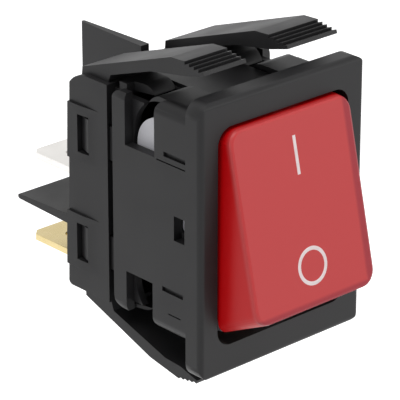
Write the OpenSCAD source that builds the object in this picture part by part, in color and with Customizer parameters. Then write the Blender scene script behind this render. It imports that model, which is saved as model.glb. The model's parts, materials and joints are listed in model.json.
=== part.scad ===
// Two-pole lit rocker switch that snaps into a 22 x 30 mm panel cut-out. Millimetres.
// X runs across the switch, +Y goes into the panel and +Z towards the rocker's I end.
// The origin lies on the bezel's back face, level with the rocker's pivot. The rocker is drawn
// with its I end pressed.

/* [Bezel] */
// How far the bezel laps over each side of the body
bezel_lap_w = 1.35; // [1.2:0.05:2]
// How far the bezel laps over each end of the middle wall
bezel_lap_h = 2.7; // [2:0.05:3.2]
// How far the bezel's outline reaches lower than it reaches up
bezel_drop = 0.4; // [0:0.1:0.6]
// Thickness of the bezel
bezel_t = 2.4; // [1.8:0.1:2.8]
// Corner radius of the bezel's outline
bezel_corner_r = 1.8; // [1:0.1:3]
// Radius of the bezel's front edges
bezel_edge_r = 0.7; // [0.3:0.05:1]
// Gap at each side between the rocker and its opening
rim_side_gap = 0.25; // [0.2:0.05:0.3]
// Gap at each end between the rocker and its opening
rim_end_gap = 0.85; // [0.7:0.05:1]
// Corner radius of the rocker opening
opening_r = 2; // [1:0.1:2.4]

/* [Front housing] */
// Thickness of the side walls
side_wall_t = 1.15; // [1:0.05:1.5]
// Depth of the front housing behind the panel
housing_d = 13.4; // [13.2:0.1:14]
// Thickness of the middle part of the upper and lower walls
end_wall_t = 0.65; // [0.6:0.05:0.8]
// How far the upper corner blocks stand above the middle wall
upper_block_rise = 0.5; // [0.4:0.05:0.8]
// How far the lower corner blocks stay short of the middle wall
lower_block_drop = 0.1; // [-0.5:0.05:0.15]
// Distance from the centre plane to a corner block
block_x = 5; // [4.5:0.1:6]
// Width and depth of the slit beside a corner block
slit = 0.35; // [0.2:0.05:0.5]
// Depth of the rear corner blocks
rear_block_d = 4.4; // [3.8:0.1:5]
// Rounding of the rear ends of the side walls
post_r = 1; // [0.5:0.1:1.5]
// Rounding of the rear edge of a corner block's front part
block_front_r = 2.6; // [1:0.1:3]
// Rounding of the front edge of a corner block's rear part
block_rear_r = 1.8; // [1:0.1:2.4]
// Rounding of the tabs' rear corners
tab_r = 1.2; // [0.5:0.1:2]
// Rounding along the body's outer edges
body_r = 1.6; // [0.5:0.1:2]
// Depth of the notches in the corner blocks, measured down from their tops
notch_d = 1.5; // [1:0.1:1.8]
// Thickness of the side walls' inner webs, with the lobes' room in them
web_t = 0.85; // [0.8:0.01:0.9]
// Depth at which the side webs start
web_front_y = 4; // [3.7:0.1:4.3]

/* [Side windows] */
// Front edge of the corner windows
window_front_y = 6.5; // [6.3:0.1:7]
// Width of the posts behind the corner windows
post_w = 2.1; // [1.8:0.1:2.3]
// Sill of the upper corner windows
upper_sill_z = 7.35; // [7:0.05:8]
// Sill of the lower corner windows
lower_sill_z = 7.8; // [7:0.05:8]
// Size of a pivot window along the depth
pivot_window_y = 1.7; // [1.2:0.1:2]
// Size of a pivot window along the height
pivot_window_z = 2.9; // [2.4:0.1:3.4]
// Radius of the arch round a rocker lobe
arch_r = 4.5; // [4.45:0.05:4.6]
// Depth of the arch's centre
arch_y = 6.5; // [6.4:0.05:6.6]
// Height of the arch's centre above the lobes' centres
arch_rise = 0.5; // [0.35:0.05:0.6]
// Depth of the shallow marks moulded in the sides
mark_depth = 0.35; // [0.2:0.05:0.5]
// Length of the longer moulded marks
mark_l = 3.5; // [3:0.1:3.7]
// Width of the longer moulded marks
mark_w = 0.55; // [0.4:0.05:0.7]
// Distance from the bezel to the moulded marks
mark_front = 1.5; // [1.2:0.1:1.8]

/* [Terminal base] */
// How far each side of the base is set in from the body
base_step = 0.3; // [0:0.05:0.35]
// How far the base's top stays short of the middle wall
base_top_drop = 0.2; // [0.1:0.05:0.4]
// How far the base's bottom stays short of the middle wall
base_bottom_drop = 0.55; // [0.3:0.05:0.6]
// Gap between the front housing and the terminal base
groove = 1.2; // [0.9:0.1:1.4]
// Depth of the terminal base from the groove to the middle of its rear face
base_d = 6.7; // [6.5:0.1:7.2]
// Lean of the base's rear face, in degrees
rear_lean = 1.6; // [0:0.2:2]
// Radius of the base's upper rear edge
base_top_r = 3.5; // [2:0.1:3.8]
// Radius of the base's lower rear edge
base_bottom_r = 0.6; // [0.4:0.1:2]
// Thickness of the base's rear wall, which holds the terminals
rear_wall = 3.7; // [3:0.1:4]
// Thickness of the wall between the two poles
pole_wall = 1.2; // [1:0.1:1.6]
// How far the base's lip reaches into the front housing
lip_reach = 0.8; // [0.5:0.1:1]
// Thickness of that lip
lip_t = 0.45; // [0.4:0.05:0.5]
// How far the straps behind the latches stand proud of the base
strap_proud = 0.3; // [0.1:0.05:0.3]
// Clearance between seated mouldings
fit_gap = 0.1; // [0.05:0.01:0.1]

/* [Latches] */
// Thickness of a latch arm
latch_t = 0.8; // [0.7:0.05:0.8]
// Width of a latch arm
latch_w = 4; // [3.5:0.1:4.2]
// Height of the upper latch arms' centre line
upper_latch_z = 6.35; // [6.2:0.05:6.5]
// Height of the lower latch arms' centre line
lower_latch_z = 6.9; // [6.7:0.05:7]
// How far a latch tooth stands out from its arm
tooth = 0.45; // [0.3:0.05:0.5]
// Size of a latch window along the depth
latch_window_y = 1.8; // [1.6:0.1:1.9]
// Distance from a latch window to the base's rear face
strap_y = 1.75; // [1.6:0.05:2]
// Free height above and below a latch tooth in its window
window_spare = 0.25; // [0.2:0.05:0.35]

/* [Snap-in wings] */
// How far the wings are set in from the body's sides
wing_inset = 1; // [0.7:0.1:1.4]
// Distance from the centre plane to the left wings' inner edges
left_wing_inner_x = 3.75; // [3:0.05:4.5]
// Distance from the centre plane to the right wings' inner edges
right_wing_inner_x = 2.35; // [2:0.05:3]
// Rise of a wing for each millimetre towards the panel
wing_slope = 0.349; // [0.33:0.001:0.36]
// Length of a wing's root on the base
wing_root = 4.5; // [4:0.1:5]
// Height of the wings' heels above the base
wing_heel_rise = 0.65; // [0.5:0.05:0.9]
// Thickness of the upper wings, measured along the height
upper_wing_t = 1.4; // [1.2:0.05:1.6]
// Thickness of the lower wings, measured along the height
lower_wing_t = 1.75; // [1.4:0.05:1.8]
// Distance from the panel plane at which the upper wings flatten
upper_bend_y = 4.9; // [4.5:0.1:5.5]
// Distance from the panel plane at which the lower wings flatten
lower_bend_y = 8.5; // [7.5:0.1:9]
// Distance from the panel plane to the first ridge of the upper wings
upper_knee_y = 2.7; // [2.5:0.1:3]
// Distance from the panel plane to the first ridge of the lower wings
lower_knee_y = 3.75; // [3.4:0.05:4]
// Height of the upper wings' knees above their heels
upper_knee_rise = 5.25; // [5.05:0.05:5.45]
// Height of the lower wings' knees below their heels
lower_knee_rise = 4.75; // [4.55:0.05:4.95]
// Number of grip ridges on a wing
ridges = 4; // [3:1:5]
// Length of a ridge
ridge_pitch = 0.72; // [0.6:0.01:0.75]
// Height of the step behind a ridge
ridge_drop = 0.36; // [0.3:0.01:0.42]

/* [Barrier plates] */
// Depth of the barrier plates behind the base
barrier_d = 9.3; // [9:0.1:10]
// Thickness of the upright barrier at the base
upright_t = 1.2; // [1.1:0.05:1.4]
// Thickness of the upright barrier at its rear edge
upright_tip_t = 0.5; // [0.4:0.05:0.8]
// How far the upright barrier stands above the base
upright_rise = 0.5; // [0.2:0.05:1]
// How far the upright barrier's top runs over the base
upright_lap = 1; // [0.5:0.1:1.5]
// Height of the level barrier
level_z = -4.9; // [-5.2:0.1:-4.4]
// Thickness of the level barrier at the base
level_root_t = 1.2; // [1:0.05:1.5]
// Thickness of the level barrier at its tip
level_tip_t = 0.6; // [0.4:0.05:0.8]

/* [Rocker] */
// Distance of the rocker's pivot behind the panel plane
pivot_y = 2.5; // [2.4:0.05:2.6]
// Distance from the pivot to the rocker's face
face_reach = 8.4; // [8.2:0.05:8.6]
// Tilt of the rocker to each side
rocker_tilt = 13; // [12.5:0.1:13.2]
// Draft of the rocker's sides, from rim to face
side_draft = 0.5; // [0.3:0.05:0.7]
// Draft of the rocker's ends, from rim to face
end_draft = 1.05; // [0.95:0.05:1.2]
// Corner radius of the rocker's face
face_r = 1.8; // [1.2:0.1:2.4]
// Corner radius of the rocker's rim
rim_r = 1.2; // [1:0.1:2]
// Rounding between the face and the sides
face_edge_r = 0.35; // [0.2:0.05:0.6]
// Depth of the lens from its face to its rim
lens_d = 6; // [5.8:0.05:6.1]
// Width of the lens at its rim
rim_w = 19; // [18.9:0.05:19.1]
// Length of the lens at its rim
rim_h = 24; // [23.8:0.05:24.1]
// Wall thickness of the lens
lens_wall = 1.1; // [1:0.05:1.15]
// Thickness of the diffuser sheet
diffuser_t = 0.5; // [0.3:0.05:0.6]

/* [Rocker carrier] */
// Thickness of the carrier's walls
carrier_wall = 1; // [0.9:0.05:1.1]
// Gap between the carrier's side plates and the housing's webs
plate_gap = 0.2; // [0.15:0.05:0.3]
// Radius of the carrier's lobes
lobe_r = 3.7; // [3.5:0.05:3.75]
// How far the lobes reach past the rocker's rim
lobe_past = 0.05; // [0:0.01:0.1]
// Depth of a lobe's centre behind the pivot
lobe_behind = 2.8; // [2.6:0.05:2.85]
// Clearance round a lobe over its swing
lobe_gap = 0.35; // [0.3:0.05:0.45]
// Radius of the trunnions
trunnion_r = 1.05; // [0.9:0.05:1.2]
// Gap between the trunnions' ends and the side walls
trunnion_gap = 0.3; // [0.15:0.05:0.4]
// Radial clearance of a trunnion in its bearing
bearing_gap = 0.05; // [0.03:0.01:0.08]
// Wall round a bearing
bearing_wall = 0.9; // [0.7:0.05:0.95]

/* [Plungers] */
// How far each pole is set in from the housing's web
pole_inset = 3.2; // [3.15:0.01:3.25]
// Radius of a plunger
plunger_r = 1.8; // [1.6:0.05:1.85]
// Radius of a plunger's round nose
nose_r = 1.2; // [1:0.05:1.4]
// Distance from the pivot to the centre of a plunger's nose
nose_reach = 7; // [6.7:0.05:7.2]
// Radial clearance of a plunger in its tube
plunger_gap = 0.05; // [0.03:0.01:0.08]
// Wall of a plunger tube
tube_wall = 0.5; // [0.4:0.05:0.5]
// Where a plunger tube starts in front of the pivot
tube_front = 4.9; // [4.7:0.1:4.9]
// Where a plunger tube ends behind the pivot
tube_rear = 4.6; // [4.4:0.1:4.7]
// Gap between a plunger at rest and its blade
nose_gap = 0.42; // [0.4:0.01:0.5]
// Wire diameter of a plunger spring
spring_wire = 0.35; // [0.25:0.05:0.4]
// Mean radius of a plunger spring
spring_r = 0.85; // [0.8:0.05:0.9]
// Turns of a plunger spring
spring_turns = 7; // [5:1:9]

/* [Contacts] */
// Tilt of a contact blade to each side
blade_tilt = 8; // [7:0.1:8.2]
// Thickness of a contact blade
blade_t = 0.5; // [0.4:0.05:0.6]
// Width of a contact blade
blade_w = 4.6; // [4.3:0.1:4.7]
// Width of the waist between the horns
waist_w = 3.6; // [3.2:0.1:3.8]
// Length of the blade's contact arm
contact_arm = 9.6; // [9.3:0.1:9.9]
// Length of the blade's idle arm
idle_arm = 6.6; // [6.3:0.1:6.9]
// Distance from the fulcrum to the contacts
contact_reach = 8.2; // [8:0.05:8.3]
// Radius of a contact rivet's head
contact_r = 1.4; // [1.2:0.05:1.5]
// Height of a contact rivet's head
contact_t = 0.7; // [0.6:0.05:0.8]
// Radius of a contact rivet's shank
shank_r = 0.6; // [0.5:0.05:0.7]
// Clearance between the closed contacts, and at the fulcrum
touch_gap = 0.05; // [0.03:0.01:0.08]

/* [Terminals] */
// Width of a blade terminal
tab_w = 6.3; // [6.2:0.02:6.32]
// Thickness of a blade terminal
tab_t = 0.8; // [0.75:0.05:0.85]
// How far the centre terminals stand out behind the base
centre_tab = 8.8; // [8:0.1:9]
// How far the end terminals stand out behind the base
end_tab = 9.2; // [8:0.1:9.4]
// Height of the end terminals below the centre
end_z = 10.35; // [10.2:0.05:10.5]
// Chamfer of a terminal's rear corners
tab_chamfer = 0.8; // [0.5:0.1:1.5]
// Radius of the dimple hole in a terminal
dimple_r = 0.75; // [0.6:0.05:0.9]
// Height of the fulcrum horns above the knife edge
horn = 1.4; // [1:0.1:1.5]
// Width of a fulcrum horn
horn_w = 0.5; // [0.4:0.05:0.6]

/* [Lamp] */
// Radius of the neon lamp
lamp_r = 1.5; // [1.3:0.05:1.55]
// Length of the neon lamp
lamp_l = 8; // [7:0.1:8.5]
// Distance from the pivot along the rocker to the lamp
lamp_along = 5.4; // [5.2:0.1:5.8]
// Radius of the resistor
resistor_r = 0.9; // [0.7:0.05:1]
// Length of the resistor
resistor_l = 4.2; // [3.5:0.1:5]
// Diameter of the lamp's wires
lead_d = 0.4; // [0.3:0.05:0.5]

/* [Hidden] */
$fn = 64;

nylon = [0.07, 0.07, 0.07];
past = 1; // how far a cutter runs past the face it opens

// mouldings
opening_w = rim_w + 2 * rim_side_gap;
opening_h = rim_h + 2 * rim_end_gap;
window_rear_y = housing_d - post_w;
block_split_y = housing_d - rear_block_d;
inner_x = opening_w / 2;
inner_z = opening_h / 2;
side_x = inner_x + side_wall_t;
body_w = 2 * side_x;
bezel_w = body_w + 2 * bezel_lap_w;
middle_wall_z = inner_z + end_wall_t;
bezel_h = 2 * (middle_wall_z + bezel_lap_h);
upper_block_z = middle_wall_z + upper_block_rise;
lower_block_z = middle_wall_z - lower_block_drop;
web_x = inner_x - web_t;
base_x = side_x - base_step;
base_top_z = middle_wall_z - base_top_drop;
base_bottom_z = middle_wall_z - base_bottom_drop;
upright_top_z = base_top_z + upright_rise;
base_front = housing_d + groove;
base_rear = base_front + base_d;
chamber_rear = base_rear - rear_wall;
chamber_z = inner_z - lip_t - fit_gap;
lip_front = housing_d - lip_reach;
lip_x = web_x + lip_t;
barrier_rear = base_rear + barrier_d;
lean = tan(rear_lean);
block_rear = base_rear + base_bottom_z * lean;

// latches
latch_x = lip_x + fit_gap;
window_h = latch_w + 2 * window_spare;

// wings
wing_rear = base_front + wing_root + 0.5;
wing_outer_x = side_x - wing_inset;
wing_heel_z = base_top_z + wing_heel_rise;
upper_knee_z = wing_heel_z + upper_knee_rise;
lower_knee_z = wing_heel_z + lower_knee_rise;
// depth of a latch window's rear edge at the given height
function window_rear(z) = base_rear - lean * z - strap_y;
function wing_z(y) = wing_heel_z + wing_slope * (wing_rear - y);

// rocker frame: x as the switch, y from the pivot into the panel, z along the face
face_y = -face_reach;
rim_y = face_y + lens_d;
pole_x = web_x - pole_inset;
plate_x = web_x - plate_gap;
lobe_x = rim_w / 2;
lobe_along = rim_h / 2 + lobe_past - lobe_r;
arch_z = lobe_along + arch_rise;
trunnion_x = inner_x - trunnion_gap;
face_w = rim_w - 2 * side_draft;
face_h = rim_h - 2 * end_draft;
plate_rear = 1.8;
lobe_inner_x = plate_x - carrier_wall / 2;
tub_front = face_y + lens_wall + diffuser_t + 2 * fit_gap;
cavity_w = face_w - 2 * lens_wall;
cavity_h = face_h - 2 * lens_wall;
tub_w = cavity_w - 2 * fit_gap;
tub_h = cavity_h - 2 * fit_gap;
carrier_h = rim_h - 2 * fit_gap;
bore_r = plunger_r + plunger_gap;
tube_r = bore_r + tube_wall;
spring_front = carrier_wall * 0.6 - tube_front;
plunger_front = 0.2;
plunger_seat = 3.8;
seat_gap = 0.03;
coil_sides = 6;
coil_steps = 14;

// contacts: the fulcrum's axis is where the blade's slope just clears the nose at rest
blade_front = tab_t / 2 + touch_gap + blade_t;
nose_y = pivot_y + nose_reach * cos(rocker_tilt);
nose_z = nose_reach * sin(rocker_tilt);
fulcrum_y = nose_y + (nose_r + nose_gap + blade_front - nose_z * sin(blade_tilt)) / cos(blade_tilt);
contact_y = fulcrum_y - (tab_t / 2 + touch_gap) * cos(blade_tilt) + contact_reach * sin(blade_tilt)
            + contact_t * cos(blade_tilt) + contact_r * sin(blade_tilt) + touch_gap;
contact_z = contact_reach * cos(blade_tilt);
leg_y = contact_y + contact_t;
stop_z = idle_arm - 0.9;
stop_y = fulcrum_y + stop_z * sin(blade_tilt);

// lamp
lamp_y = tub_front + lamp_r + 0.3;
lead_x = tub_w / 2 - carrier_wall - lead_d - 0.2;
lead_r = lead_d / 2;
wire_y = -tube_front - lead_r - 0.15;

// ---------- helpers ----------

module along_x(x0, x1) {
    translate([x0, 0, 0]) rotate([90, 0, 90]) linear_extrude(x1 - x0) children();
}

module along_y(y0, y1) {
    translate([0, y1, 0]) rotate([90, 0, 0]) linear_extrude(y1 - y0) children();
}

module along_z(z0, z1) {
    translate([0, 0, z0]) linear_extrude(z1 - z0) children();
}

module both_sides() {
    children();
    mirror([1, 0, 0]) children();
}

module top_and_bottom() {
    children();
    mirror([0, 0, 1]) children();
}

module box(low, high) {
    translate(low) cube(high - low);
}

module rounded_rect(w, h, r) {
    square([w - 2 * r, h], center = true);
    square([w, h - 2 * r], center = true);
    for (x = [-1, 1], z = [-1, 1]) translate([x * (w / 2 - r), z * (h / 2 - r)]) circle(r);
}

// a block in the depth-height plane, rounded at its two far corners
module rounded_block(y0, y1, z1, r0, r1) {
    rm = max(r0, r1);
    translate([y0, 0]) square([y1 - y0, z1 - rm]);
    translate([y0 + r0, 0]) square([y1 - y0 - r0 - r1, z1]);
    if (r0 > 0) translate([y0 + r0, z1 - r0]) circle(r0);
    if (r1 > 0) translate([y1 - r1, z1 - r1]) circle(r1);
    if (r0 > 0 && r0 < rm) translate([y0, 0]) square([r0, z1 - r0]);
    if (r1 > 0 && r1 < rm) translate([y1 - r1, 0]) square([r1, z1 - r1]);
}

module in_rocker() {
    translate([0, pivot_y, 0]) rotate([-rocker_tilt, 0, 0]) children();
}

module in_blade(x) {
    translate([x, fulcrum_y, 0]) rotate([blade_tilt, 0, 0]) children();
}

// a round wire through a list of points
module wire(points, r) {
    for (i = [0:len(points) - 2]) {
        run = points[i + 1] - points[i];
        translate(points[i])
            rotate([0, acos(run[2] / norm(run)), atan2(run[1], run[0])])
                cylinder(h = norm(run), r = r, $fn = 16);
    }
    for (p = points) translate(p) sphere(r, $fn = 16);
}

// ---------- front housing ----------

module bezel_plate() {
    translate([0, 0, -bezel_drop / 2]) intersection() {
        along_y(-bezel_t, 0) rounded_rect(bezel_w, bezel_h, bezel_corner_r);
        along_x(-bezel_w / 2, bezel_w / 2) bezel_section(bezel_h);
        rotate([0, 90, 0]) along_x(-bezel_h / 2, bezel_h / 2) bezel_section(bezel_w);
    }
}

// section of the bezel across a side of the given width, round at the front
module bezel_section(w) {
    translate([-bezel_t + bezel_edge_r, -w / 2]) square([bezel_t - bezel_edge_r, w]);
    translate([-bezel_t, -w / 2 + bezel_edge_r]) square([bezel_t, w - 2 * bezel_edge_r]);
    for (side = [-1, 1])
        translate([-bezel_t + bezel_edge_r, side * (w / 2 - bezel_edge_r)]) circle(bezel_edge_r);
}

// the corner blocks' shape in the depth-height plane
module block_section(z_top) {
    rounded_block(0, block_split_y, z_top, 0, block_front_r);
    rounded_block(block_split_y + slit, housing_d, z_top - 0.1, block_rear_r, 0);
    square([housing_d, z_top - block_rear_r]);
}

module corner_block(z_top) {
    both_sides() difference() {
        along_x(block_x, inner_x) block_section(z_top);
        // notch that opens the block beside the window
        along_z(z_top - notch_d, z_top + past)
            polygon([[inner_x + past, block_split_y], [inner_x - 1.8, block_split_y + slit],
                     [inner_x - 1.1, window_rear_y + 0.9], [inner_x + past, window_rear_y + 0.9]]);
    }
}

module side_wall() {
    window_y = window_front_y - 2;
    along_x(inner_x, side_x) difference() {
        union() {
            difference() {
                union() {
                    rounded_block(0, housing_d, upper_block_z - 0.7, 0, post_r);
                    mirror([0, 1]) rounded_block(0, housing_d, lower_block_z - 0.6, 0, post_r + 0.5);
                }
                translate([window_y, upper_sill_z]) square([window_rear_y - window_y, upper_block_z]);
                translate([window_y, -lower_sill_z - lower_block_z]) square([window_rear_y - window_y, lower_block_z]);
            }
            rounded_block(0, window_front_y, upper_block_z, 0, tab_r);
            mirror([0, 1]) rounded_block(0, window_front_y + 0.4, lower_block_z, 0, tab_r);
        }
        translate([pivot_y - pivot_window_y / 2, -pivot_window_z / 2]) square([pivot_window_y, pivot_window_z]);
    }
}

module side_mark(front, low, w, l) {
    box([side_x - mark_depth, front, low], [side_x + past, front + l, low + w]);
}

module side_marks() {
    side_mark(mark_front - 0.3, upper_sill_z - 0.15, 0.15, window_front_y - mark_depth - mark_front + 0.3);
    side_mark(mark_front, upper_sill_z + 0.6, mark_w, mark_l);
    side_mark(mark_front + 0.4, -lower_sill_z - 0.3, mark_w, mark_l - 0.1);
    side_mark(mark_front + 0.8, -lower_sill_z - 2.9, 0.15, mark_l - 1.5);
}

// the room that a lobe sweeps, and the arch that shows round it
module lobe_slot() {
    steps = 4;
    for (i = [0:steps]) {
        a = rocker_tilt * (2 * i / steps - 1);
        translate([pivot_y + lobe_behind * cos(a) + lobe_along * sin(a), lobe_along * cos(a) - lobe_behind * sin(a)])
            circle(lobe_r + lobe_gap);
    }
    translate([arch_y, arch_z]) circle(arch_r);
}

module latch_arm(z) {
    tip = window_rear(z) - fit_gap;
    tooth_front = tip + 2 * fit_gap - latch_window_y;
    box([latch_x, lip_front + fit_gap, z - latch_w / 2], [latch_x + latch_t, tip, z + latch_w / 2]);
    along_z(z - latch_w / 2, z + latch_w / 2)
        polygon([[latch_x + latch_t / 2, tooth_front], [latch_x + latch_t + tooth, tooth_front],
                 [latch_x + latch_t + tooth, tooth_front + 0.3], [latch_x + latch_t, tip], [latch_x + latch_t / 2, tip]]);
}

module front_housing() color(nylon) {
    difference() {
        union() {
            bezel_plate();
            box([-block_x, 0, -middle_wall_z], [block_x, housing_d, middle_wall_z]);
            intersection() {
                union() {
                    corner_block(upper_block_z);
                    mirror([0, 0, 1]) corner_block(lower_block_z);
                    both_sides() side_wall();
                }
                translate([0, 0, (upper_block_z - lower_block_z) / 2])
                    along_y(0, housing_d) rounded_rect(body_w, upper_block_z + lower_block_z, body_r);
            }
            both_sides() {
                latch_arm(upper_latch_z);
                latch_arm(-lower_latch_z);
            }
        }
        // slits beside the corner blocks
        both_sides() {
            box([block_x - slit, 0, middle_wall_z - slit], [block_x, housing_d + past, middle_wall_z + past]);
            box([block_x - slit, 0, -middle_wall_z - past], [block_x, housing_d + past, -middle_wall_z + slit]);
        }
        along_y(-bezel_t - past, web_front_y) rounded_rect(opening_w, opening_h, opening_r);
        box([-web_x, web_front_y - past, -inner_z], [web_x, housing_d + past, inner_z]);
        both_sides() top_and_bottom() along_x(web_x - past, inner_x) lobe_slot();
        both_sides() {
            box([web_x - past, lip_front, -inner_z], [latch_x, housing_d + past, inner_z]);
            side_marks();
        }
    }
    both_sides() bearing();
}

// boss on the side wall that takes a trunnion of the rocker
module bearing() {
    r = trunnion_r + bearing_gap;
    along_x(web_x, inner_x) difference() {
        union() {
            translate([pivot_y, 0]) circle(r + bearing_wall);
            translate([pivot_y, -r - bearing_wall]) square([web_front_y - pivot_y + 0.5, 2 * (r + bearing_wall)]);
        }
        translate([pivot_y, 0]) circle(r);
    }
}

// ---------- terminal base ----------

// a wing in the depth-height plane, with its grip ridges and the root on the base
module wing_section(bend_y, knee_y, knee_z, under_y, t, root_z) {
    rise = ridge_pitch * wing_slope;
    ridge_points = [for (i = [0:ridges - 1], end = [0, 1])
        [knee_y - (i + end) * ridge_pitch, knee_z - (i + 1) * ridge_drop + (i + end) * rise]];
    tip = ridge_points[len(ridge_points) - 1];
    step_y = base_front + 0.1;
    polygon(concat(
        [[wing_rear, root_z], [wing_rear - 0.1, wing_heel_z], [bend_y, wing_z(bend_y)], [knee_y, knee_z]],
        ridge_points,
        [[tip[0] - 0.15, tip[1] - 0.42], [knee_y - 0.35, knee_z - 1.6], [under_y, wing_z(under_y) - t],
         [step_y, wing_z(step_y) - 1.4], [step_y + 0.35, root_z + 0.6], [step_y + 0.35, root_z]]));
}

module wing_pair() {
    along_x(-wing_outer_x, -left_wing_inner_x) children();
    along_x(right_wing_inner_x, wing_outer_x) children();
}

module wings() {
    wing_pair()
        wing_section(upper_bend_y, upper_knee_y, upper_knee_z, upper_bend_y + 3.2, upper_wing_t, base_top_z - 0.3);
    mirror([0, 0, 1]) wing_pair()
        wing_section(lower_bend_y, lower_knee_y, lower_knee_z, lower_bend_y - 2.5, lower_wing_t, base_bottom_z - 0.3);
}

module base_block() {
    along_x(-base_x, base_x) {
        rounded_block(base_front, block_rear, base_top_z, 0, base_top_r);
        mirror([0, 1]) rounded_block(base_front, block_rear, base_bottom_z, 0, base_bottom_r);
    }
    both_sides() for (z = [upper_latch_z, -lower_latch_z])
        along_z(z - window_h / 2 - 1.1, z + window_h / 2 + 1.1)
            polygon([[base_x - past, base_front + 1.5], [base_x, base_front + 1.5],
                     [base_x + strap_proud, base_front + 4], [base_x + strap_proud, block_rear],
                     [base_x - past, block_rear]]);
}

// all that lies behind the leaning rear face of the base
module behind_base() {
    translate([0, base_rear, 0]) rotate([rear_lean, 0, 0])
        box([-bezel_w, 0, -bezel_h], [bezel_w, past + base_d, bezel_h]);
}

// room for a latch arm, and the window that its tooth shows in
module latch_room(z) {
    rear = window_rear(z);
    box([latch_x - fit_gap, base_front - past, z - window_h / 2], [latch_x + latch_t + fit_gap, rear, z + window_h / 2]);
    box([latch_x, rear - latch_window_y, z - window_h / 2], [base_x + past, rear, z + window_h / 2]);
}

module lip() {
    along_y(lip_front, base_front + 0.5) difference() {
        square([2 * lip_x, 2 * (chamber_z + lip_t)], center = true);
        square([2 * web_x, 2 * chamber_z], center = true);
    }
}

// a barrier's section: depth against thickness, thinning towards a round rear edge
module barrier_section(rear, root_t, tip_t) {
    front = base_rear - past;
    r = tip_t / 2;
    polygon([[front, -root_t / 2], [base_rear, -root_t / 2], [rear - r, -r],
             [rear - r, r], [base_rear, root_t / 2], [front, root_t / 2]]);
    translate([rear - r, 0]) circle(r);
}

module level_barrier() {
    along_x(-base_x, base_x) translate([0, level_z]) barrier_section(barrier_rear, level_root_t, level_tip_t);
}

module upright_barrier() {
    bottom_z = -base_bottom_z + 0.5;
    along_z(bottom_z, upright_top_z) rotate(90) mirror([0, 1])
        barrier_section(barrier_rear + 0.6, upright_t, upright_tip_t);
    along_x(-upright_t / 2, upright_t / 2)
        translate([base_rear - upright_lap, 0]) square([upright_lap + 0.01, upright_top_z]);
}

module terminal_slots() {
    for (x = [-pole_x, pole_x], z = [0, -end_z])
        box([x - tab_w / 2 - touch_gap, chamber_rear - past, z - tab_t / 2 - touch_gap],
            [x + tab_w / 2 + touch_gap, base_rear + past, z + tab_t / 2 + touch_gap]);
}

module terminal_base() color(nylon) {
    difference() {
        union() {
            difference() {
                base_block();
                behind_base();
            }
            lip();
            level_barrier();
            upright_barrier();
        }
        box([-web_x, lip_front - past, -chamber_z], [web_x, chamber_rear, chamber_z]);
        both_sides() {
            latch_room(upper_latch_z);
            latch_room(-lower_latch_z);
        }
        terminal_slots();
    }
    wings();
    // wall between the poles and a stop for each blade's idle arm
    box([-pole_wall / 2, lip_front, -chamber_z - 0.1], [pole_wall / 2, chamber_rear + 0.1, chamber_z + 0.1]);
    for (x = [-pole_x, pole_x])
        box([x - 1.5, stop_y, stop_z - 0.6], [x + 1.5, chamber_rear + 0.1, stop_z + 0.6]);
}

// ---------- rocker ----------

// a slab of the lens at one depth, for hull()
module lens_slab(y, w, h, r) {
    translate([0, y, 0]) rotate([90, 0, 0]) linear_extrude(0.01, center = true) rounded_rect(w, h, r, $fn = 32);
}

// the drafted body of the lens, taken in by the given wall
module lens_body(wall, front) {
    e = wall > 0 ? 0.02 : face_edge_r;
    hull() {
        lens_slab(front + 0.005, face_w - 2 * (wall + e), face_h - 2 * (wall + e), max(face_r - wall - e, 0.3));
        lens_slab(front + e * 0.3, face_w - 2 * (wall + e * 0.3), face_h - 2 * (wall + e * 0.3), max(face_r - wall, 0.5));
        lens_slab(front + e, face_w - 2 * wall, face_h - 2 * wall, max(face_r - wall, 0.5));
        lens_slab(rim_y - 0.005 + (wall > 0 ? 0.1 : 0), rim_w - 2 * wall, rim_h - 2 * wall, max(rim_r - wall, 0.4));
    }
}

module rocker_lens() color([0.8, 0.08, 0.1]) in_rocker() {
    difference() {
        lens_body(0, face_y);
        lens_body(lens_wall, face_y + lens_wall);
    }
}

module lamp_diffuser() color("white") in_rocker() {
    y = face_y + lens_wall + fit_gap;
    along_y(y, y + diffuser_t) rounded_rect(tub_w, tub_h, face_r - lens_wall);
}

module rocker_carrier() color([0.92, 0.92, 0.94]) in_rocker() {
    floor_rear = rim_y + carrier_wall;
    difference() {
        union() {
            // tub for the lamp
            along_y(tub_front, rim_y + 0.1) difference() {
                rounded_rect(tub_w, tub_h, face_r - lens_wall);
                square([tub_w - 2 * carrier_wall, tub_h - 2 * carrier_wall], center = true);
            }
            // floor, side plates, lobes and trunnions
            box([-plate_x, rim_y + 0.02, -carrier_h / 2], [plate_x, floor_rear, carrier_h / 2]);
            both_sides() {
                box([plate_x - carrier_wall, rim_y + 0.02, -carrier_h / 2], [plate_x, plate_rear, carrier_h / 2]);
                for (side = [-1, 1])
                    translate([lobe_inner_x, lobe_behind, side * lobe_along])
                        rotate([0, 90, 0]) cylinder(h = lobe_x - lobe_inner_x, r = lobe_r);
                translate([plate_x - carrier_wall, 0, 0])
                    rotate([0, 90, 0]) cylinder(h = trunnion_x - plate_x + carrier_wall, r = trunnion_r);
            }
            for (x = [-pole_x, pole_x])
                translate([x, -tube_front, 0]) rotate([-90, 0, 0]) cylinder(h = tube_front + tube_rear, r = tube_r);
        }
        for (x = [-pole_x, pole_x]) translate([x, 0, 0]) rotate([-90, 0, 0]) {
            translate([0, 0, spring_front]) cylinder(h = 2 * tube_front + tube_rear, r = bore_r);
            translate([0, 0, -tube_front - past]) cylinder(h = 2 * past + carrier_wall, r = lead_d);
        }
    }
}

// ---------- plungers and springs ----------

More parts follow.
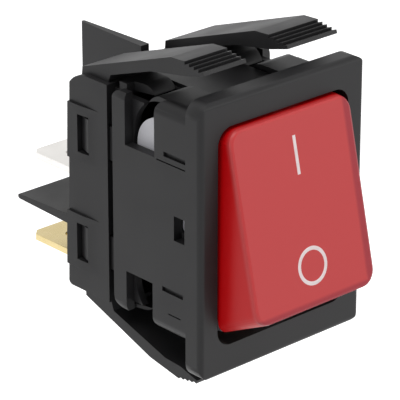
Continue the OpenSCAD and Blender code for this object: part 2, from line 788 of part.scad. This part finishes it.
module plunger(x, metal) color(metal) in_rocker() translate([x, 0, 0]) rotate([-90, 0, 0]) {
    shoulder = nose_reach - nose_r;
    difference() {
        rotate_extrude() {
            translate([0, plunger_front]) square([plunger_r, shoulder - plunger_front]);
            polygon([[0, shoulder], [plunger_r, shoulder], [nose_r, nose_reach], [0, nose_reach]]);
            intersection() {
                translate([0, nose_reach]) circle(nose_r);
                translate([0, nose_reach - 0.1]) square(2 * nose_r);
            }
        }
        translate([0, 0, plunger_front - past])
            cylinder(h = plunger_seat + past - plunger_front, r = spring_r + spring_wire / 2 + fit_gap);
    }
}

// points round the spring's wire, ring by ring along the coil
function spring_point(i, j, low, pitch) =
    let (a = 360 * i / coil_steps, b = 360 * j / coil_sides, r = spring_r + spring_wire / 2 * cos(b))
    [r * cos(a), r * sin(a), low + pitch * i + spring_wire / 2 * sin(b)];

module spring(x) color([0.75, 0.75, 0.78]) in_rocker() translate([x, 0, 0]) rotate([-90, 0, 0]) {
    low = spring_front + spring_wire / 2 + seat_gap;
    high = plunger_seat - spring_wire / 2 - seat_gap;
    rings = spring_turns * coil_steps;
    polyhedron(
        points = [for (i = [0:rings], j = [0:coil_sides - 1]) spring_point(i, j, low, (high - low) / rings)],
        faces = concat(
            [[for (j = [coil_sides - 1:-1:0]) j]],
            [for (i = [0:rings - 1], j = [0:coil_sides - 1])
                let (k = (j + 1) % coil_sides)
                each [[i * coil_sides + j, i * coil_sides + k, (i + 1) * coil_sides + j],
                      [i * coil_sides + k, (i + 1) * coil_sides + k, (i + 1) * coil_sides + j]]],
            [[for (j = [0:coil_sides - 1]) rings * coil_sides + j]]));
}

// ---------- contacts and terminals ----------

module contact_blade(x) color([0.78, 0.5, 0.3]) in_blade(x) {
    back = -tab_t / 2 - touch_gap;
    difference() {
        box([-blade_w / 2, back - blade_t, -contact_arm], [blade_w / 2, back, idle_arm]);
        both_sides() box([waist_w / 2, back - blade_t - past, -1.3], [blade_w, back + past, 1.3]);
        translate([0, back - blade_t - past, -contact_reach])
            rotate([-90, 0, 0]) cylinder(h = blade_t + 2 * past, r = shank_r + touch_gap);
    }
}

// a rivet whose head looks along +Y, domed by a tenth of its radius
module contact_rivet(shank) {
    rotate([-90, 0, 0]) {
        cylinder(h = contact_t * 0.7, r = contact_r);
        intersection() {
            cylinder(h = contact_t, r = contact_r);
            translate([0, 0, contact_t - 4 * contact_r]) sphere(4 * contact_r, $fn = 96);
        }
        translate([0, 0, -shank]) cylinder(h = shank + 0.1, r = shank_r);
        translate([0, 0, -shank - 0.25]) cylinder(h = 0.25, r = shank_r + 0.35);
    }
}

module moving_contact(x) color([0.85, 0.85, 0.86]) in_blade(x)
    translate([0, -tab_t / 2 - touch_gap, -contact_reach]) contact_rivet(blade_t);

module fixed_contact(x) color([0.85, 0.85, 0.86])
    translate([x, leg_y, -contact_z]) mirror([0, 1, 0]) contact_rivet(tab_t);

// flat tab with chamfered rear corners and a dimple hole, seen from above
module tab_outline(front, rear) {
    difference() {
        polygon([[-tab_w / 2, front], [tab_w / 2, front], [tab_w / 2, rear - tab_chamfer],
                 [tab_w / 2 - tab_chamfer, rear], [-tab_w / 2 + tab_chamfer, rear],
                 [-tab_w / 2, rear - tab_chamfer]]);
        translate([0, rear - 3.6]) circle(dimple_r);
    }
}

module centre_terminal(x) color([0.85, 0.84, 0.82]) translate([x, 0, 0]) {
    rear = base_rear + centre_tab;
    along_z(-tab_t / 2, tab_t / 2) tab_outline(fulcrum_y, rear);
    // knife edge and the horns that keep the blade on it
    translate([-tab_w / 2, fulcrum_y, 0]) rotate([0, 90, 0]) cylinder(h = tab_w, r = tab_t / 2);
    both_sides() box([waist_w / 2 + 0.25, fulcrum_y - horn, -tab_t / 2],
                     [waist_w / 2 + 0.25 + horn_w, fulcrum_y, tab_t / 2]);
}

module end_terminal(x) color([0.78, 0.66, 0.38]) translate([x, 0, -end_z]) {
    along_z(-tab_t / 2, tab_t / 2) tab_outline(leg_y + tab_t / 2, base_rear + end_tab);
    difference() {
        box([-tab_w / 2, leg_y, -tab_t / 2], [tab_w / 2, leg_y + tab_t, end_z - contact_z + contact_r + 0.3]);
        translate([0, leg_y - past, end_z - contact_z])
            rotate([-90, 0, 0]) cylinder(h = tab_t + 2 * past, r = shank_r + touch_gap);
    }
}

// ---------- lamp ----------

module neon_lamp() color([0.95, 0.75, 0.6]) in_rocker()
    translate([-lamp_l / 2, lamp_y, lamp_along]) rotate([0, 90, 0]) {
        translate([0, 0, lamp_r]) cylinder(h = lamp_l - lamp_r, r = lamp_r);
        translate([0, 0, lamp_r]) sphere(lamp_r);
    }

module lamp_resistor() color([0.8, 0.7, 0.5]) in_rocker()
    translate([-resistor_l / 2, lamp_y, -lamp_along]) rotate([0, 90, 0]) cylinder(h = resistor_l, r = resistor_r);

// wire from the lamp to the right-hand plunger tube
module lamp_lead_direct() color("silver") in_rocker()
    wire([[lamp_l / 2 + lead_r, wire_y, lamp_along - 0.7], [pole_x, wire_y, lamp_along - 0.7],
          [pole_x, wire_y, 0], [pole_x, carrier_wall * 0.3 - tube_front, 0]], lead_r);

// wire from the lamp to the resistor
module lamp_lead_resistor() color("silver") in_rocker()
    wire([[lamp_l / 2 + lead_r, wire_y, lamp_along + 0.7], [lead_x, wire_y, lamp_along + 0.7],
          [lead_x, wire_y, -lamp_along], [resistor_l / 2 + lead_r, wire_y, -lamp_along]], lead_r);

// wire from the resistor to the left-hand plunger tube
module resistor_lead() color("silver") in_rocker()
    wire([[-resistor_l / 2 - lead_r, wire_y, -lamp_along], [-pole_x, wire_y, -lamp_along],
          [-pole_x, wire_y, 0], [-pole_x, carrier_wall * 0.3 - tube_front, 0]], lead_r);

front_housing();
terminal_base();
rocker_lens();
lamp_diffuser();
rocker_carrier();
plunger(-pole_x, "silver");  // plunger_left
plunger(pole_x, "silver");  // plunger_right
spring(-pole_x);  // plunger_spring_left
spring(pole_x);  // plunger_spring_right
contact_blade(-pole_x);  // contact_blade_left
contact_blade(pole_x);  // contact_blade_right
moving_contact(-pole_x);  // moving_contact_left
moving_contact(pole_x);  // moving_contact_right
centre_terminal(-pole_x);  // centre_terminal_left
centre_terminal(pole_x);  // centre_terminal_right
end_terminal(-pole_x);  // end_terminal_left
end_terminal(pole_x);  // end_terminal_right
fixed_contact(-pole_x);  // fixed_contact_left
fixed_contact(pole_x);  // fixed_contact_right
neon_lamp();
lamp_resistor();
lamp_lead_direct();
lamp_lead_resistor();
resistor_lead();
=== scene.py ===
import json
import math
import bpy
from mathutils import Matrix, Vector


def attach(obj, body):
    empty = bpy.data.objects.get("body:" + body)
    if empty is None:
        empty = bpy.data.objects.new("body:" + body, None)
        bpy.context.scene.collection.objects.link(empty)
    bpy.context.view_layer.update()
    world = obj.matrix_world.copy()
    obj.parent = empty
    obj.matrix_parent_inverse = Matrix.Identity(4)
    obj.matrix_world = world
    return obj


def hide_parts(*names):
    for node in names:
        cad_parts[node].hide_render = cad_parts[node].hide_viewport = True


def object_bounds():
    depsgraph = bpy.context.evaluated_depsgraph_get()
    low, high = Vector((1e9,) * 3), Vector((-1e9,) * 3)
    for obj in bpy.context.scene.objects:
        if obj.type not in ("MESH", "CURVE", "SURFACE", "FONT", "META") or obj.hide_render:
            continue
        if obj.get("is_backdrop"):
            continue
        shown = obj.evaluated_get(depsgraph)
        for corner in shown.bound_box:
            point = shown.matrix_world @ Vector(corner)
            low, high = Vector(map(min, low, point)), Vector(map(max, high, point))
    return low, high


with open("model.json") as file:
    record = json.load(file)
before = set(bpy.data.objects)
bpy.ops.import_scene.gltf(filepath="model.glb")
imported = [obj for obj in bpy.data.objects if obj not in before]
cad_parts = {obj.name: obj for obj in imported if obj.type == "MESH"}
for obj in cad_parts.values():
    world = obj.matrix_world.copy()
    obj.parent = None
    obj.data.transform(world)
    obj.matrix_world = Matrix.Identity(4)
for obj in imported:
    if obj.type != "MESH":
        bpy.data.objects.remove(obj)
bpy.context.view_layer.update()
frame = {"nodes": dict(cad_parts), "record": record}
print("frame loaded with", len(frame["nodes"]), "nodes")

mm = 0.001

# the rocker turns about its pivot and is drawn with its I end pressed in
rocker = {
    "pivotY": 2.5 * mm,
    "tilt": 13.0,  # degrees away from level
    "faceReach": 8.4 * mm,  # from the pivot to the front face
}
rockerPivot = Matrix.Translation((0, rocker["pivotY"], 0))
rockerTurn = rockerPivot @ Matrix.Rotation(math.radians(-rocker["tilt"]), 4, "X")

cameraValues = {
    "azimuth": -43.922,
    "elevation": 23.641,
    "roll": 0.65,
    "distance": 307.19 * mm,
    "lens": 251.7,
    "sensor": 36,
    "shift": (-0.1703, 0.026),
    "clip": (10 * mm, 20),
}


def addCamera(v):
    azimuth, elevation, roll = (math.radians(v[k]) for k in ("azimuth", "elevation", "roll"))
    level = math.cos(elevation)
    back = Vector((math.sin(azimuth) * level, -math.cos(azimuth) * level, math.sin(elevation)))
    right = Vector((0, 0, 1)).cross(back).normalized()
    up = back.cross(right)
    across = math.cos(roll) * right + math.sin(roll) * up
    upright = -math.sin(roll) * right + math.cos(roll) * up
    bpy.ops.object.camera_add()
    camera = bpy.context.active_object
    camera.name = "camera"
    turn = Matrix((across, upright, back)).transposed().to_4x4()
    camera.matrix_world = Matrix.Translation(back * v["distance"]) @ turn
    camera.data.sensor_width = v["sensor"]
    camera.data.lens = v["lens"]
    camera.data.shift_x, camera.data.shift_y = v["shift"]
    camera.data.clip_start, camera.data.clip_end = v["clip"]
    bpy.context.scene.camera = camera


lights = {
    # name: place, target, size, power in watts, colour
    "softboxAbove": ((-0.10, -0.05, 0.55), (0, 0.01, 0), 0.45, 2.0, (1.0, 0.985, 0.97)),
    "softboxFront": ((0.35, -0.60, 0.20), (0, 0, 0), 0.40, 1.3, (1.0, 0.99, 0.98)),
    "softboxLeft": ((-0.55, -0.10, 0.15), (0, 0.01, 0), 0.35, 0.35, (0.97, 0.98, 1.0)),
}


def addLights():
    for name, (place, target, size, power, colour) in lights.items():
        bpy.ops.object.light_add(type="AREA", location=place)
        lamp = bpy.context.active_object
        lamp.name = name
        aim = Vector(target) - Vector(place)
        lamp.rotation_euler = aim.to_track_quat("-Z", "Y").to_euler()
        lamp.data.shape = "SQUARE"
        lamp.data.size = size
        lamp.data.energy = power
        lamp.data.color = colour


def setInputs(node, values):
    for name, value in values.items():
        node.inputs[name].default_value = value


def mathStep(tree, operation, first, second):
    step = tree.nodes.new("ShaderNodeMath")
    step.operation = operation
    for socket, value in zip(step.inputs, (first, second)):
        if isinstance(value, (int, float)):
            socket.default_value = value
        else:
            tree.links.new(value, socket)
    return step.outputs[0]


# 1 for the kinds of ray that are named, 0 for the rest
def seenBy(tree, *rays):
    path = tree.nodes.new("ShaderNodeLightPath")
    seen = path.outputs[rays[0]]
    for ray in rays[1:]:
        seen = mathStep(tree, "MAXIMUM", seen, path.outputs[ray])
    return seen


worldValues = {
    "fill": 0.28,
    "fillColour": (0.95, 0.97, 1.0),
    "white": 1.0,
}


def addBackground(tree, colour, strength):
    background = tree.nodes.new("ShaderNodeBackground")
    setInputs(background, {"Color": (*colour, 1), "Strength": strength})
    return background.outputs[0]


# a weak fill lights the switch, while the camera, gloss and glass see white
def addWorld(v):
    world = bpy.data.worlds.new("studio")
    world.use_nodes = True
    bpy.context.scene.world = world
    tree = world.node_tree
    tree.nodes.clear()
    seen = seenBy(tree, "Is Camera Ray", "Is Glossy Ray", "Is Transmission Ray")
    mix = tree.nodes.new("ShaderNodeMixShader")
    tree.links.new(seen, mix.inputs[0])
    tree.links.new(addBackground(tree, v["fillColour"], v["fill"]), mix.inputs[1])
    tree.links.new(addBackground(tree, (1, 1, 1), v["white"]), mix.inputs[2])
    out = tree.nodes.new("ShaderNodeOutputWorld")
    tree.links.new(mix.outputs[0], out.inputs[0])


addCamera(cameraValues)
addLights()
addWorld(worldValues)
bpy.context.scene.view_settings.view_transform = "Standard"
print("camera and lights placed")

noiseBand = (0.3, 0.7)  # nearly all of the noise lies between these
patchDetail = 3.0
grainDetail = 2.0
grainStrength = 0.6
plainGloss = 0.5


def newFinish(name):
    finish = bpy.data.materials.new(name)
    finish.use_nodes = True
    return finish, finish.node_tree, finish.node_tree.nodes["Principled BSDF"]


def addNoise(tree, scale, detail):
    place = tree.nodes.new("ShaderNodeTexCoord")
    noise = tree.nodes.new("ShaderNodeTexNoise")
    setInputs(noise, {"Scale": scale, "Detail": detail})
    tree.links.new(place.outputs["Object"], noise.inputs["Vector"])
    return noise.outputs["Fac"]


def spread(tree, noise, low, high):
    span = tree.nodes.new("ShaderNodeMapRange")
    setInputs(span, {"From Min": noiseBand[0], "From Max": noiseBand[1]})
    setInputs(span, {"To Min": low, "To Max": high})
    tree.links.new(noise, span.inputs["Value"])
    return span.outputs["Result"]


def tint(tree, noise, dark, light):
    ramp = tree.nodes.new("ShaderNodeValToRGB")
    for stop, position, colour in zip(ramp.color_ramp.elements, noiseBand, (dark, light)):
        stop.position = position
        stop.color = (*colour, 1)
    tree.links.new(noise, ramp.inputs["Fac"])
    return ramp.outputs["Color"]


def addGrain(tree, shader, scale, height, strength):
    bump = tree.nodes.new("ShaderNodeBump")
    setInputs(bump, {"Distance": height, "Strength": strength})
    tree.links.new(addNoise(tree, scale, grainDetail), bump.inputs["Height"])
    tree.links.new(bump.outputs["Normal"], shader.inputs["Normal"])


# moulded or rolled surfaces: two tones, a band of roughness and a fine grain
plainFinishes = {
    "blackNylon": {
        "dark": (0.009, 0.0088, 0.0095), "light": (0.013, 0.0127, 0.0136), "rough": (0.40, 0.50),
        "gloss": 0.28, "metal": 0, "patch": 180, "grain": 5000, "height": 0.006 * mm,
    },
    "whiteNylon": {
        "dark": (0.66, 0.655, 0.69), "light": (0.72, 0.715, 0.75), "rough": (0.35, 0.45),
        "metal": 0, "patch": 200, "grain": 4000, "height": 0.004 * mm,
    },
    "plungerNylon": {
        "dark": (0.62, 0.60, 0.54), "light": (0.68, 0.66, 0.60), "rough": (0.35, 0.45),
        "metal": 0, "patch": 300, "grain": 4000, "height": 0.003 * mm,
    },
    "silverPlate": {
        "dark": (0.76, 0.74, 0.71), "light": (0.84, 0.82, 0.79), "rough": (0.26, 0.38),
        "metal": 1, "patch": 350, "grain": 6000, "height": 0.004 * mm,
    },
    "rolledBrass": {
        "dark": (0.62, 0.50, 0.24), "light": (0.74, 0.61, 0.33), "rough": (0.22, 0.34),
        "metal": 1, "patch": 350, "grain": 6000, "height": 0.004 * mm,
    },
    "copperStrip": {
        "dark": (0.62, 0.34, 0.18), "light": (0.74, 0.43, 0.26), "rough": (0.22, 0.36),
        "metal": 1, "patch": 400, "grain": 6000, "height": 0.003 * mm,
    },
    "silverRivet": {
        "dark": (0.78, 0.77, 0.75), "light": (0.86, 0.85, 0.83), "rough": (0.18, 0.30),
        "metal": 1, "patch": 600, "grain": 7000, "height": 0.003 * mm,
    },
    "springWire": {
        "dark": (0.50, 0.50, 0.51), "light": (0.60, 0.60, 0.61), "rough": (0.22, 0.34),
        "metal": 1, "patch": 800, "grain": 8000, "height": 0.002 * mm,
    },
    "tinnedWire": {
        "dark": (0.60, 0.60, 0.60), "light": (0.70, 0.70, 0.70), "rough": (0.25, 0.4),
        "metal": 1, "patch": 800, "grain": 8000, "height": 0.002 * mm,
    },
    "resistorLacquer": {
        "dark": (0.55, 0.40, 0.22), "light": (0.63, 0.48, 0.28), "rough": (0.3, 0.4),
        "metal": 0, "patch": 500, "grain": 6000, "height": 0.003 * mm,
    },
    "milkySheet": {
        "dark": (0.76, 0.72, 0.72), "light": (0.82, 0.78, 0.78), "rough": (0.45, 0.55),
        "metal": 0, "patch": 300, "grain": 5000, "height": 0.002 * mm,
    },
}


def plainFinish(name, v):
    finish, tree, shader = newFinish(name)
    patch = addNoise(tree, v["patch"], patchDetail)
    tree.links.new(tint(tree, patch, v["dark"], v["light"]), shader.inputs["Base Color"])
    tree.links.new(spread(tree, patch, *v["rough"]), shader.inputs["Roughness"])
    setInputs(shader, {"Metallic": v["metal"], "Specular IOR Level": v.get("gloss", plainGloss)})
    addGrain(tree, shader, v["grain"], v["height"], grainStrength)
    return finish


lensValues = {
    "face": (0.60, 0.050, 0.052),
    "mauveReflection": (0.40, 0.022, 0.035),  # painted reflection: a greyish mauve band of grazing light along the right and lower margins of the face
    "side": (0.62, 0.002, 0.004),
    "rightMargin": 7.8 * mm,
    "lowMargin": 10.2 * mm,
    "marginBlend": 0.5 * mm,
    "sideStart": 0.6 * mm,  # behind the front face
    "sideBlend": 0.6 * mm,
    "rough": 0.32,
    "gloss": 0.3,
    "grain": 3500,
    "height": 0.004 * mm,
    "strength": 0.5,
}


def smoothStep(tree, source, edge, width):
    span = tree.nodes.new("ShaderNodeMapRange")
    span.interpolation_type = "SMOOTHSTEP"
    setInputs(span, {"From Min": edge - width / 2, "From Max": edge + width / 2})
    tree.links.new(source, span.inputs["Value"])
    return span.outputs["Result"]


def mixed(tree, factor, first, second):
    mix = tree.nodes.new("ShaderNodeMix")
    mix.data_type = "RGBA"
    tree.links.new(factor, mix.inputs["Factor"])
    for socket, value in ((mix.inputs["A"], first), (mix.inputs["B"], second)):
        if isinstance(value, tuple):
            socket.default_value = (*value, 1)
        else:
            tree.links.new(value, socket)
    return mix.outputs["Result"]


def lensFinish(v):
    finish, tree, shader = newFinish("redLens")
    place = tree.nodes.new("ShaderNodeTexCoord")
    turned = tree.nodes.new("ShaderNodeMapping")  # into the level rocker's own place
    turned.vector_type = "TEXTURE"
    setInputs(turned, {"Location": (0, rocker["pivotY"], 0)})
    setInputs(turned, {"Rotation": (math.radians(-rocker["tilt"]), 0, 0)})
    tree.links.new(place.outputs["Object"], turned.inputs["Vector"])
    split = tree.nodes.new("ShaderNodeSeparateXYZ")
    tree.links.new(turned.outputs["Vector"], split.inputs["Vector"])
    # painted reflection: the right and lower margins of the face turn mauve
    right = smoothStep(tree, split.outputs["X"], v["rightMargin"], v["marginBlend"])
    low = mathStep(tree, "MULTIPLY", split.outputs["Z"], -1)
    below = smoothStep(tree, low, v["lowMargin"], v["marginBlend"])
    margin = mathStep(tree, "MAXIMUM", right, below)
    face = mixed(tree, margin, v["face"], v["mauveReflection"])
    sideEdge = v["sideStart"] - rocker["faceReach"]
    depth = smoothStep(tree, split.outputs["Y"], sideEdge, v["sideBlend"])
    tree.links.new(mixed(tree, depth, face, v["side"]), shader.inputs["Base Color"])
    setInputs(shader, {"Roughness": v["rough"], "Specular IOR Level": v["gloss"]})
    addGrain(tree, shader, v["grain"], v["height"], v["strength"])
    return finish


# two tones over one roughness, with no grain
smoothFinishes = {
    "lampGlass": {
        "dark": (0.9, 0.78, 0.72), "light": (0.96, 0.86, 0.80), "patch": 600,
        "rough": 0.08, "through": 0.85,
    },
    "legendPaint": {
        "dark": (0.86, 0.72, 0.72), "light": (0.92, 0.80, 0.80), "patch": 900,
        "rough": 0.4, "through": 0,
    },
}


def smoothFinish(name, v):
    finish, tree, shader = newFinish(name)
    patch = addNoise(tree, v["patch"], patchDetail)
    tree.links.new(tint(tree, patch, v["dark"], v["light"]), shader.inputs["Base Color"])
    setInputs(shader, {"Roughness": v["rough"], "Transmission Weight": v["through"]})
    return finish


finishes = {name: plainFinish(name, v) for name, v in plainFinishes.items()}
finishes["redLens"] = lensFinish(lensValues)
finishes.update({name: smoothFinish(name, v) for name, v in smoothFinishes.items()})

nodeFinish = {
    "front_housing": "blackNylon", "terminal_base": "blackNylon",
    "rocker_lens": "redLens", "lamp_diffuser": "milkySheet", "rocker_carrier": "whiteNylon",
    "plunger_left": "plungerNylon", "plunger_right": "plungerNylon",
    "plunger_spring_left": "springWire", "plunger_spring_right": "springWire",
    "contact_blade_left": "copperStrip", "contact_blade_right": "copperStrip",
    "moving_contact_left": "silverRivet", "moving_contact_right": "silverRivet",
    "fixed_contact_left": "silverRivet", "fixed_contact_right": "silverRivet",
    "centre_terminal_left": "silverPlate", "centre_terminal_right": "silverPlate",
    "end_terminal_left": "rolledBrass", "end_terminal_right": "rolledBrass",
    "neon_lamp": "lampGlass", "lamp_resistor": "resistorLacquer",
    "lamp_lead_direct": "tinnedWire", "lamp_lead_resistor": "tinnedWire",
    "resistor_lead": "tinnedWire",
}


def giveFinish(piece, name):
    piece.data.materials.clear()
    piece.data.materials.append(finishes[name])


for node, name in nodeFinish.items():
    giveFinish(frame["nodes"][node], name)
print("finishes made")

softening = {
    "merge": 0.002 * mm,
    "flatTurn": 0.5,  # degrees: flatter edges are dissolved
    "bevelTurn": 30,  # degrees: sharper edges are rounded
    "smoothTurn": 35,  # degrees: flatter edges are shaded smooth
    "segments": 2,
}
softEdges = {
    # node: piece, edge radius
    "front_housing": ("housingShell", 0.12 * mm),
    "terminal_base": ("baseShell", 0.12 * mm),
    "centre_terminal_left": ("centreTabLeft", 0.06 * mm),
    "centre_terminal_right": ("centreTabRight", 0.06 * mm),
    "end_terminal_left": ("endTabLeft", 0.06 * mm),
    "end_terminal_right": ("endTabRight", 0.06 * mm),
}


def pickOnly(piece):
    bpy.ops.object.select_all(action="DESELECT")
    piece.select_set(True)
    bpy.context.view_layer.objects.active = piece


def bodyOf(node):
    bodies = frame["record"]["behaviour"]["bodies"]
    return next(body for body, members in bodies.items() if node in members)


def softCopy(node, name, edge, v):
    piece = bpy.data.objects.new(name, frame["nodes"][node].data.copy())
    bpy.context.collection.objects.link(piece)
    pickOnly(piece)
    bpy.ops.object.mode_set(mode="EDIT")
    bpy.ops.mesh.select_all(action="SELECT")
    bpy.ops.mesh.remove_doubles(threshold=v["merge"])
    bpy.ops.mesh.dissolve_limited(angle_limit=math.radians(v["flatTurn"]))
    bpy.ops.object.mode_set(mode="OBJECT")
    bpy.ops.object.modifier_add(type="BEVEL")
    bevel = piece.modifiers[-1]
    bevel.width = edge
    bevel.segments = v["segments"]
    bevel.limit_method = "ANGLE"
    bevel.angle_limit = math.radians(v["bevelTurn"])
    bevel.use_clamp_overlap = True
    bpy.ops.object.modifier_apply(modifier=bevel.name)
    bpy.ops.object.shade_smooth_by_angle(angle=math.radians(v["smoothTurn"]))
    bpy.ops.object.modifier_add(type="WEIGHTED_NORMAL")
    evenShading = piece.modifiers[-1]
    evenShading.keep_sharp = True
    bpy.ops.object.modifier_apply(modifier=evenShading.name)
    giveFinish(piece, nodeFinish[node])
    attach(piece, bodyOf(node))
    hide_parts(node)


for node, (name, edge) in softEdges.items():
    softCopy(node, name, edge, softening)
print("softened copies made")

smoothNodes = {
    "turn": 30,  # degrees
    "nodes": ("rocker_lens", "rocker_carrier", "plunger_left", "plunger_right"),
}
for node in smoothNodes["nodes"]:
    pickOnly(frame["nodes"][node])
    bpy.ops.object.shade_smooth_by_angle(angle=math.radians(smoothNodes["turn"]))
print("rocker and plungers shaded smooth")

legend = {
    "proud": 0.02 * mm,
    "barW": 0.42 * mm,
    "barH": 4.38 * mm,
    "barZ": 6.2 * mm,
    "ringR": 2.18 * mm,
    "ringW": 0.44 * mm,
    "ringZ": -6.3 * mm,
    "ringSteps": 96,
    "ringSides": 8,
}


# a mark is shaped about the origin, set on the level face and tilted with the rocker
def placeInRocker(mark, name, height):
    mark.name = name
    mark.data.transform(Matrix.Translation((0, -rocker["faceReach"], height)))
    mark.data.transform(rockerTurn)
    mark.matrix_world = Matrix.Identity(4)
    giveFinish(mark, "legendPaint")
    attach(mark, "rocker")


def addBar(v):
    bpy.ops.mesh.primitive_cube_add(size=1, location=(0, 0, 0))
    bar = bpy.context.active_object
    bar.data.transform(Matrix.Diagonal((v["barW"], 2 * v["proud"], v["barH"], 1)))
    placeInRocker(bar, "markOn", v["barZ"])


def addRing(v):
    half = v["ringW"] / 2
    bpy.ops.mesh.primitive_torus_add(
        major_segments=v["ringSteps"], minor_segments=v["ringSides"],
        major_radius=v["ringR"] - half, minor_radius=half)
    ring = bpy.context.active_object
    ring.data.transform(Matrix.Diagonal((1, 1, 2 * v["proud"] / v["ringW"], 1)))
    ring.data.transform(Matrix.Rotation(math.radians(90), 4, "X"))
    placeInRocker(ring, "markOff", v["ringZ"])


addBar(legend)
addRing(legend)
print("marks made")

floorValues = {
    "size": 4.0,
    "drop": 60 * mm,
    "cells": 4,
    "tone": 0.8,
    "rough": 0.9,
    "glow": 0.8,
}


# the glow keeps the floor pale to the camera and in gloss, and lights nothing
def addFloor(v):
    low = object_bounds()[0]
    bpy.ops.mesh.primitive_grid_add(
        x_subdivisions=v["cells"], y_subdivisions=v["cells"], size=v["size"],
        location=(0, 0, low[2] - v["drop"]))
    floor = bpy.context.active_object
    floor.name = "floor"
    finish, tree, shader = newFinish("paleFloor")
    setInputs(shader, {"Base Color": (v["tone"], v["tone"], v["tone"], 1)})
    setInputs(shader, {"Roughness": v["rough"]})
    seen = seenBy(tree, "Is Camera Ray", "Is Glossy Ray")
    glow = tree.nodes.new("ShaderNodeEmission")
    setInputs(glow, {"Color": (1, 1, 1, 1)})
    tree.links.new(mathStep(tree, "MULTIPLY", seen, v["glow"]), glow.inputs["Strength"])
    both = tree.nodes.new("ShaderNodeAddShader")
    tree.links.new(shader.outputs[0], both.inputs[0])
    tree.links.new(glow.outputs[0], both.inputs[1])
    tree.links.new(both.outputs[0], tree.nodes["Material Output"].inputs[0])
    floor.data.materials.append(finish)
    floor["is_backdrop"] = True


addFloor(floorValues)
print("floor laid")
